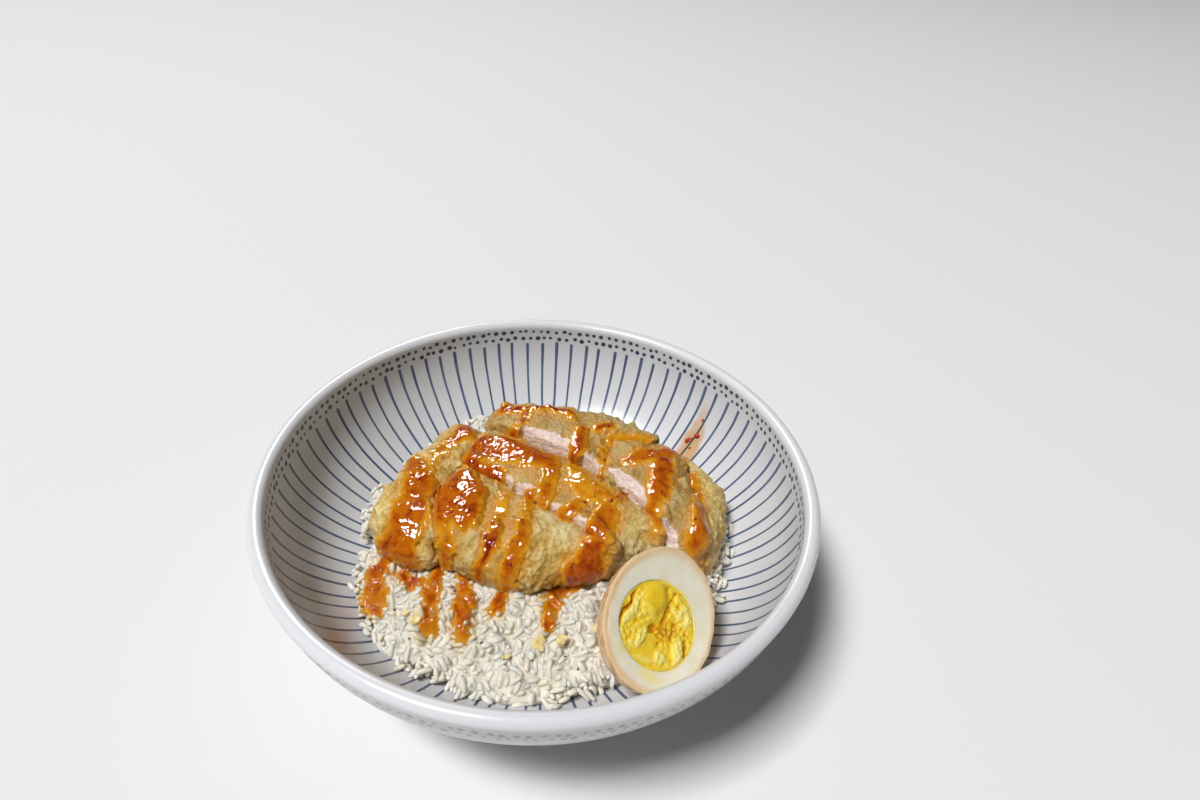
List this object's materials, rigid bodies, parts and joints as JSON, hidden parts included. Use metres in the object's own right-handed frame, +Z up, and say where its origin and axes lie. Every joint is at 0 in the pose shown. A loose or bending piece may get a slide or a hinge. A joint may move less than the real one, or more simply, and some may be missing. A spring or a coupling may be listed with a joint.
{
  "type": "bowl of crispy chicken donburi",
  "caption": "Wide striped rice bowl with a rice heap, a sliced chicken cutlet in crisp batter under sweet chilli glaze, and a seasoned boiled egg half.",
  "frame": {"origin": "centre of the foot ring, on the surface that the bowl stands on", "axes": "+Z up along the bowl's axis, +X to the right and +Y away from the eater, who sits on the side of the bare rice"},
  "size_m": [0.22, 0.22, 0.074],
  "materials": {
    "glazed_bowl": "glossy off-white glaze with blue-grey painted stripes and two rows of dots",
    "cooked_rice": "moist, slightly translucent cooked white rice",
    "fried_chicken": "pale golden crisp batter, pinkish-white meat at the knife cuts, glossy amber chilli glaze on top",
    "egg_white": "moist smooth boiled egg white, tanned at its rim and on its round back by seasoning",
    "egg_yolk": "crumbly moist boiled yolk",
    "chilli_glaze": "translucent orange-amber glaze with dark red chilli bits"
  },
  "bodies": {
    "root": {"bowl": "glazed_bowl", "rice": "cooked_rice", "chicken_left": "fried_chicken", "chicken_front": "fried_chicken", "chicken_middle": "fried_chicken", "chicken_back": "fried_chicken", "chicken_right": "fried_chicken", "chicken_end": "fried_chicken", "egg_white": "egg_white", "egg_yolk": "egg_yolk"}
  },
  "joints": []
}
